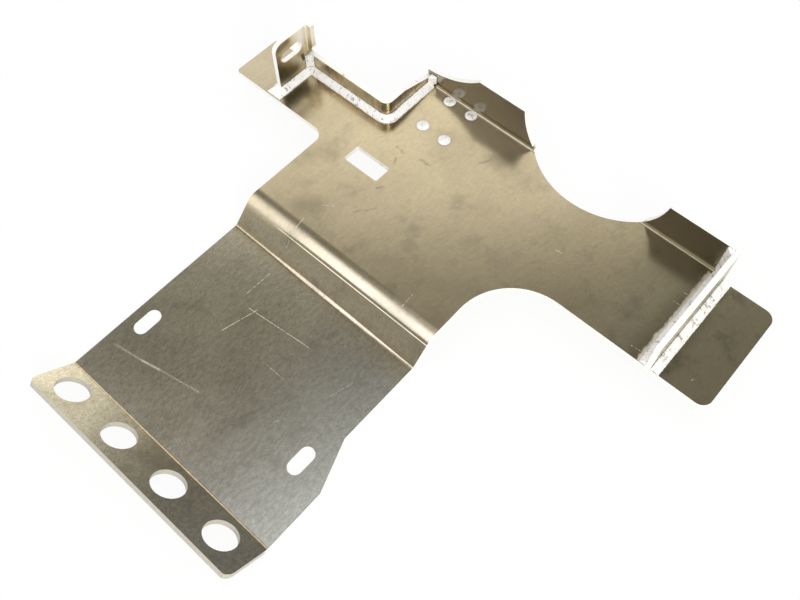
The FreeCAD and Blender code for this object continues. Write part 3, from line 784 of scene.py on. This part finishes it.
def plate_direction(point):
    """The same for the plates: the ear and the upright face sideways, the wall turns a corner."""
    if point.x < EAR_LIMIT_X and point.y < EAR_REAR_Y or point.x > UPRIGHT_LIMIT_X:
        return [X_WAY]
    return [X_WAY, Y_WAY] + WALL_BEND


def dress(obj, mat):
    obj.data.materials.clear()
    obj.data.materials.append(mat)


def sort_faces(obj, rolled):
    obj.data.materials.append(cut_mat)
    count = 0
    for face in obj.data.polygons:
        directions = rolled(face.center / MM)
        cut = max(abs(face.normal.dot(d.normalized())) for d in directions) < CUT_BELOW
        face.material_index = 1 if cut else 0
        count += cut
    print(obj.name, count, "cut faces of", len(obj.data.polygons))


dress(nodes["guard_plate"], sheet_mat)
sort_faces(nodes["guard_plate"], sheet_direction)
for name in ("ear", "notch_wall", "upright"):
    dress(nodes[name], plate_mat)
    sort_faces(nodes[name], plate_direction)

# %% [markdown]
# ## Welds
# A weld is laid as a row of small puddles, each frozen over the edge of the last, so its surface
# has even ripples across the run. A picture of ripples would look flat from the side, so a tree of
# Geometry Nodes shapes them. This first part names the tree's sizes and remakes the plain bead as
# a fine, even skin, with enough points to move.

# %% Weld sizes and skin
WELD_SIZES = {"Skin": 0.0005, "Pitch": 0.0028, "Height": 0.00025, "Lumps": 0.0011, "Dish": 0.0,
              "Seed": 1.0}


def weld_sockets(tree):
    face = tree.interface
    face.new_socket("Geometry", in_out="INPUT", socket_type="NodeSocketGeometry")
    face.new_socket("Path", in_out="INPUT", socket_type="NodeSocketObject")
    for label, value in WELD_SIZES.items():
        face.new_socket(label, in_out="INPUT", socket_type=FLOAT).default_value = value
    face.new_socket("Finish", in_out="INPUT", socket_type="NodeSocketMaterial")
    face.new_socket("Geometry", in_out="OUTPUT", socket_type="NodeSocketGeometry")
    return tree.nodes.new("NodeGroupInput").outputs


def bead_skin(tree, ins):
    links = {"Mesh": ins["Geometry"], "Voxel Size": ins["Skin"], "Interior Band Width": 0.002}
    volume = add(tree, "GeometryNodeMeshToVolume", links, resolution_mode="VOXEL_SIZE")
    links = {"Volume": volume.outputs[0], "Voxel Size": ins["Skin"], "Threshold": 0.1}
    return add(tree, "GeometryNodeVolumeToMesh", links, resolution_mode="VOXEL_SIZE").outputs[0]


print("weld sizes:", WELD_SIZES)

# %% [markdown]
# ## Ripples
# The tree finds how far along the run each point of the skin lies, and lifts it in crescents with
# some lumps. It also keeps three values for the finish to use. Ripples could be modelled one by
# one, but a rule follows every corner of a run and takes a few nodes.

# %% Weld tree
GUIDE_STEP = 0.00025


def seeded_noise(tree, place, seed, scale, detail):
    links = {"Vector": place, "W": seed, "Scale": scale, "Detail": detail}
    return add(tree, "ShaderNodeTexNoise", links, noise_dimensions="4D").outputs[0]


def along_guide(tree, ins, place):
    """How far along the guide the nearest point lies, and how far away it is."""
    path = add(tree, "GeometryNodeObjectInfo", {"Object": ins["Path"]}, transform_space="ORIGINAL")
    links = {"Curve": path.outputs["Geometry"], "Length": GUIDE_STEP}
    points = add(tree, "GeometryNodeCurveToPoints", links, mode="LENGTH").outputs[0]
    links = {"Geometry": points, "Sample Position": place}
    nearest = add(tree, "GeometryNodeSampleNearest", links, domain="POINT").outputs[0]
    root = add(tree, "GeometryNodeSampleIndex", {"Geometry": points, "Index": nearest},
               data_type="FLOAT_VECTOR", domain="POINT")
    tree.links.new(place, root.inputs["Value"])
    away = vector_node(tree, "DISTANCE", place, root.outputs[0])
    return times(tree, nearest, GUIDE_STEP), away


def weld_tree():
    tree = bpy.data.node_groups.new("Weld ripples", "GeometryNodeTree")
    ins = weld_sockets(tree)
    place = tree.nodes.new("GeometryNodeInputPosition").outputs[0]
    along, away = along_guide(tree, ins, place)
    sway = seeded_noise(tree, place, ins["Seed"], 160.0, 2.0)
    bowed = times_add(tree, away, -0.35, times_add(tree, sway, 0.003, along))
    turn = times(tree, math_node(tree, "DIVIDE", bowed, ins["Pitch"]), math.pi)
    ripple = math_node(tree, "ABSOLUTE", math_node(tree, "SINE", turn))
    lumps = seeded_noise(tree, place, ins["Seed"], 330.0, 3.0)
    height = times(tree, math_node(tree, "SUBTRACT", ripple, 0.7), ins["Height"])
    lumps = math_node(tree, "SUBTRACT", lumps, 0.5)
    height = times_add(tree, lumps, ins["Lumps"], height)
    dish = times(tree, ramp(tree, away, 0.0015, 0.0040), ins["Dish"])
    height = math_node(tree, "SUBTRACT", height, dish)
    normal = tree.nodes.new("GeometryNodeInputNormal").outputs[0]
    links = {"Geometry": bead_skin(tree, ins), "Offset": scaled(tree, normal, height)}
    shape = add(tree, "GeometryNodeSetPosition", links).outputs[0]
    for label, value in (("ripple", ripple), ("away", away), ("along", along)):
        keep = add(tree, "GeometryNodeStoreNamedAttribute", {"Geometry": shape, "Name": label},
                   data_type="FLOAT", domain="POINT")
        tree.links.new(value, keep.inputs["Value"])
        shape = keep.outputs[0]
    smooth = add(tree, "GeometryNodeSetShadeSmooth", {"Geometry": shape})
    whole = add(tree, "GeometryNodeRealizeInstances", {"Geometry": smooth.outputs[0]})
    links = {"Geometry": whole.outputs[0], "Material": ins["Finish"]}
    done = add(tree, "GeometryNodeSetMaterial", links)
    tree.links.new(done.outputs[0], tree.nodes.new("NodeGroupOutput").inputs[0])
    return tree


WELD_TREE = weld_tree()
print("weld tree:", len(WELD_TREE.nodes), "nodes")

# %% [markdown]
# ## Weld finish
# Fresh weld metal is matt and pale. Shade is painted into the hollows between ripples, and small dark
# specks of painted shade run along the bead, so the values kept by the tree place them. The plug welds
# have brown craters.

# %% Weld material
WELD_TONE, WELD_GREY = (0.965, 0.96, 0.945, 1), (0.84, 0.81, 0.74, 1)
RIPPLE_SHADE_TONE, SPECK_SHADE_TONE = (0.34, 0.32, 0.31, 1), (0.24, 0.20, 0.17, 1)
CRATER_TONE = (0.42, 0.33, 0.24, 1)


def kept_value(tree, label):
    return add(tree, "ShaderNodeAttribute", attribute_name=label).outputs["Fac"]


def weld_material():
    mat, tree, shader = principled("weld")
    place = tree.nodes.new("ShaderNodeTexCoord").outputs["Object"]
    ripple, away, along = (kept_value(tree, label) for label in ("ripple", "away", "along"))
    pores = noise(tree, place, 520.0, 2.0, 0.6)["Fac"]
    rows = noise(tree, place, 90.0, 2.0)["Fac"]
    # Painted shade: darker in the hollows between ripples.
    ripple_shade = times(tree, ramp(tree, ripple, 0.45, 0.10), ramp(tree, rows, 0.46, 0.62))
    run = {"X": along, "Y": times(tree, away, 5.0)}
    run = add(tree, "ShaderNodeCombineXYZ", run).outputs[0]
    dashes = noise(tree, run, 240.0, 2.0, 0.6)["Fac"]
    # Painted shade: rows of dark specks along the bead, standing for the ripples' shadows.
    shade_speck = times(tree, ramp(tree, dashes, 0.56, 0.64), ramp(tree, rows, 0.36, 0.52))
    color = mix(tree, times(tree, ramp(tree, rows, 0.45, 0.75), 0.2), WELD_TONE, WELD_GREY)
    color = mix(tree, times(tree, ripple_shade, 0.15), color, RIPPLE_SHADE_TONE)
    color = mix(tree, times(tree, shade_speck, 0.75), color, SPECK_SHADE_TONE)
    crater = times(tree, lines(tree, place, CRATERS, 1.0, 3.4), ramp(tree, pores, 0.35, 0.60))
    color = mix(tree, crater, color, CRATER_TONE)
    tree.links.new(color, shader.inputs["Base Color"])
    shader.inputs["Metallic"].default_value = 0.1
    shader.inputs["Roughness"].default_value = 0.5
    return mat


weld_mat = weld_material()
print(weld_mat.name, len(weld_mat.node_tree.nodes), "nodes")

# %% [markdown]
# ## Laying the welds
# Each run gets a guide curve along the corner that it fills. The tree turns the plain bead of the
# solid model into a rippled one, the result is kept as a plain mesh, and the guide goes away.

# %% Guides and beads


def guide(name, runs):
    data = bpy.data.curves.new(name, "CURVE")
    data.dimensions = "3D"
    for run in runs:
        spline = data.splines.new("POLY")
        spline.points.add(len(run) - 1)
        for point, (x, y, z) in zip(spline.points, run):
            point.co = (x * MM, y * MM, z * MM, 1.0)
    obj = bpy.data.objects.new(name, data)
    scene.collection.objects.link(obj)
    return obj


def joined_copy(name, sources):
    points, faces = [], []
    for source in sources:
        base = len(points)
        mesh = nodes[source].data
        points += [tuple(v.co) for v in mesh.vertices]
        faces += [tuple(base + i for i in p.vertices) for p in mesh.polygons]
    mesh = bpy.data.meshes.new(name)
    mesh.from_pydata(points, [], faces)
    obj = bpy.data.objects.new(name, mesh)
    scene.collection.objects.link(obj)
    return obj


def socket_id(tree, label):
    for item in tree.interface.items_tree:
        if item.name == label and item.in_out == "INPUT":
            return item.identifier


def lay_weld(name, sources, runs, **sizes):
    path = guide(name + "_guide", runs)
    obj = joined_copy(name, sources)
    modifier = obj.modifiers.new("weld", "NODES")
    modifier.node_group = WELD_TREE
    modifier[socket_id(WELD_TREE, "Path")] = path
    modifier[socket_id(WELD_TREE, "Finish")] = weld_mat
    for label, value in sizes.items():
        modifier[socket_id(WELD_TREE, label)] = value
    bpy.context.view_layer.update()
    ready = obj.evaluated_get(bpy.context.evaluated_depsgraph_get())
    mesh = bpy.data.meshes.new_from_object(ready)
    obj.modifiers.clear()
    obj.data = mesh
    mesh.name = name
    bpy.data.objects.remove(path)
    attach(obj, "root")
    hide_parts(*sources)
    print(name, len(mesh.polygons), "faces")
    return obj


print("guides and beads ready to lay")

# %% [markdown]
# ## Three runs of weld
# The left run goes round the ear, along the wall and up the flange, with a short one up the corner
# of ear and wall. The right runs follow both feet of the upright, and the inner one climbs the
# flange too. Seed and lumps differ, because no two runs come out alike.

# %% Runs of weld
EAR_X, EAR_BACK_X = -180.0, -185.0
EAR_FRONT_Y, EAR_CORNER = 250.0, 3.0
WALL_X, WALL_Y, WALL_R = -76.5, 294.5, 8.0
WALL_TURNS = (0.0, 0.4, 0.8, 1.2, 1.57)
WALL_TOP = UPPER + 21.5
INNER_X, OUTER_X = 257.0, 262.0
ARM_FRONT_Y, OUTER_REAR_Y = 242.5, 355.5
FLANGE_Y, FLANGE_FOOT = 361.0, 3.0
LEFT_TOP, RIGHT_TOP = UPPER + 14.0, UPPER + 38.5
round_ear = [(EAR_BACK_X, EAR_REAR_Y, UPPER), (EAR_BACK_X, EAR_FRONT_Y + EAR_CORNER, UPPER),
             ((EAR_X + EAR_BACK_X) / 2, EAR_FRONT_Y, UPPER),
             (EAR_X, EAR_FRONT_Y + EAR_CORNER, UPPER), (EAR_X, WALL_Y, UPPER)]
along_wall = [(WALL_X - WALL_R + WALL_R * math.sin(turn),
               WALL_Y + WALL_R - WALL_R * math.cos(turn), UPPER) for turn in WALL_TURNS]


def up_flange(x, top):
    return [(x, FLANGE_Y - FLANGE_FOOT, UPPER), (x, FLANGE_Y, UPPER + FLANGE_FOOT), (x, FLANGE_Y, top)]


left_runs = [round_ear + along_wall + up_flange(WALL_X, LEFT_TOP),
             [(EAR_X, WALL_Y, UPPER), (EAR_X, WALL_Y, WALL_TOP)]]
inner_runs = [[(INNER_X, ARM_FRONT_Y, UPPER)] + up_flange(INNER_X, RIGHT_TOP)]
outer_runs = [[(OUTER_X, ARM_FRONT_Y, UPPER), (OUTER_X, OUTER_REAR_Y, UPPER)]]
lay_weld("left_weld_bead", ["left_weld"], left_runs, Seed=1.0)
lay_weld("right_weld_inner_bead", ["right_weld_inner"], inner_runs, Seed=2.0, Lumps=0.0020)
lay_weld("right_weld_outer_bead", ["right_weld_outer"], outer_runs, Seed=3.0, Lumps=0.0014)

# %% [markdown]
# ## Plug welds
# Four round plug welds sit in the upper panel by the rear flange. Each is a small puddle, and the
# rear pair has sunk in the middle. They could be turned as plain caps, but the same tree serves,
# with a ring as the guide and a dish for the rear pair.

# %% Plug welds
PLUG_X = (-47.0, -20.0)
PLUG_FRONT_Y, PLUG_REAR_Y = 313.45, 353.95
RING_R = 4.3
RING_SIDES = 24
PLUG_SIZES = {"Skin": 0.00025, "Pitch": 0.0022, "Height": 0.0002, "Lumps": 0.0005}
PLUG_DISH = 0.0009


def rings(y):
    turns = [2 * math.pi * i / RING_SIDES for i in range(RING_SIDES + 1)]
    return [[(x + RING_R * math.cos(t), y + RING_R * math.sin(t), UPPER + 1.0) for t in turns]
            for x in PLUG_X]


lay_weld("plug_welds_front", ["plug_weld_1", "plug_weld_2"], rings(PLUG_FRONT_Y), Seed=4.0,
         **PLUG_SIZES)
lay_weld("plug_welds_rear", ["plug_weld_3", "plug_weld_4"], rings(PLUG_REAR_Y), Seed=5.0,
         Dish=PLUG_DISH, **PLUG_SIZES)
